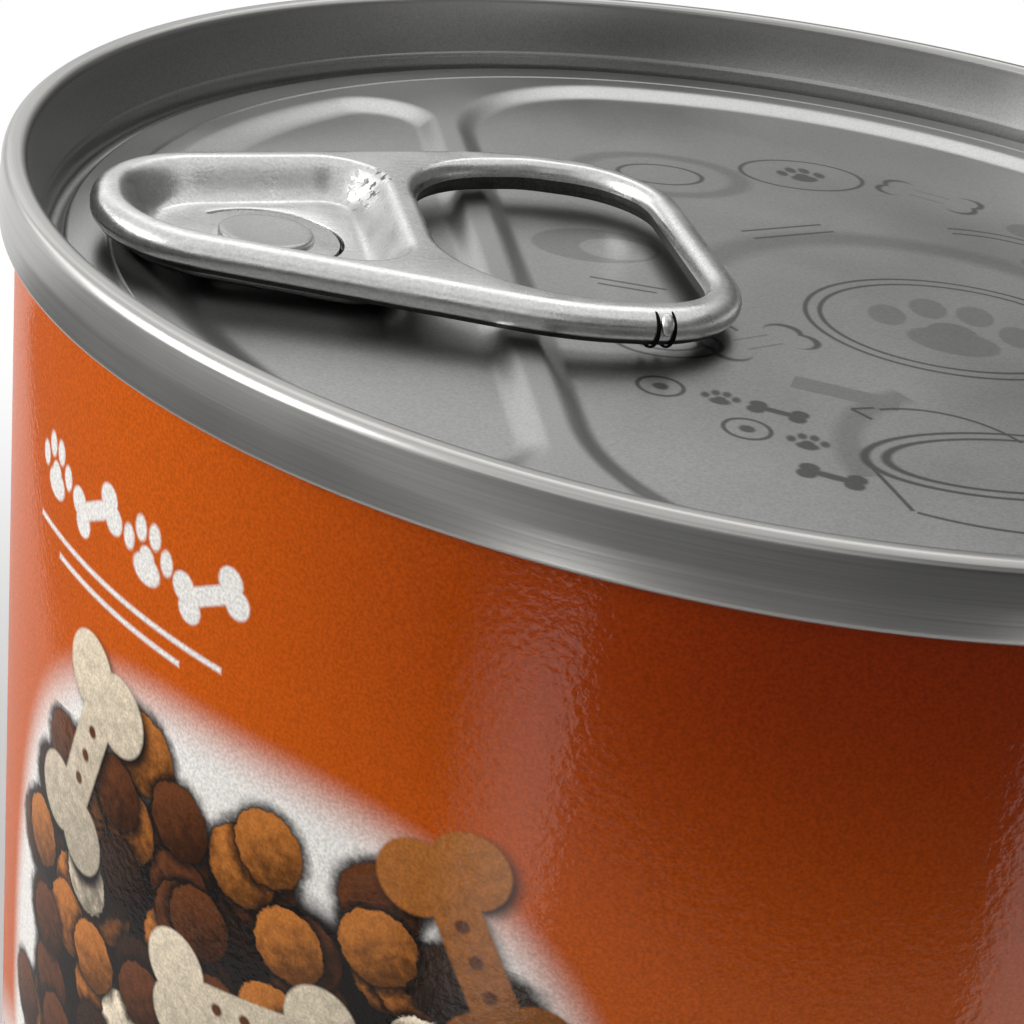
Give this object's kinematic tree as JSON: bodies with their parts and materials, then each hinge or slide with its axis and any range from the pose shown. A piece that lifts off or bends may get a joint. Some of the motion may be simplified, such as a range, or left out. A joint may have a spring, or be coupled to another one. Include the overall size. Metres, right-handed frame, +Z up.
{
  "type": "pet food can",
  "caption": "Tall printed steel food can, double seamed at both ends, with a ring-pull tab riveted to its recessed easy-open lid.",
  "frame": {"origin": "centre of the can's base, on the plane the bottom seam stands on", "axes": "+Z up the can's axis to the easy-open end; the pull tab lies along X with its nose and rivet towards -X"},
  "size_m": [0.0748, 0.0748, 0.11],
  "materials": {
    "printed_wall": "printed and varnished tinplate",
    "end_steel": "satin lacquered tinplate",
    "tab_metal": "satin, burnished on the bends"
  },
  "bodies": {
    "root": {"can_body": "printed_wall", "top_end": "end_steel", "bottom_end": "end_steel", "pull_tab": "tab_metal"}
  },
  "joints": []
}
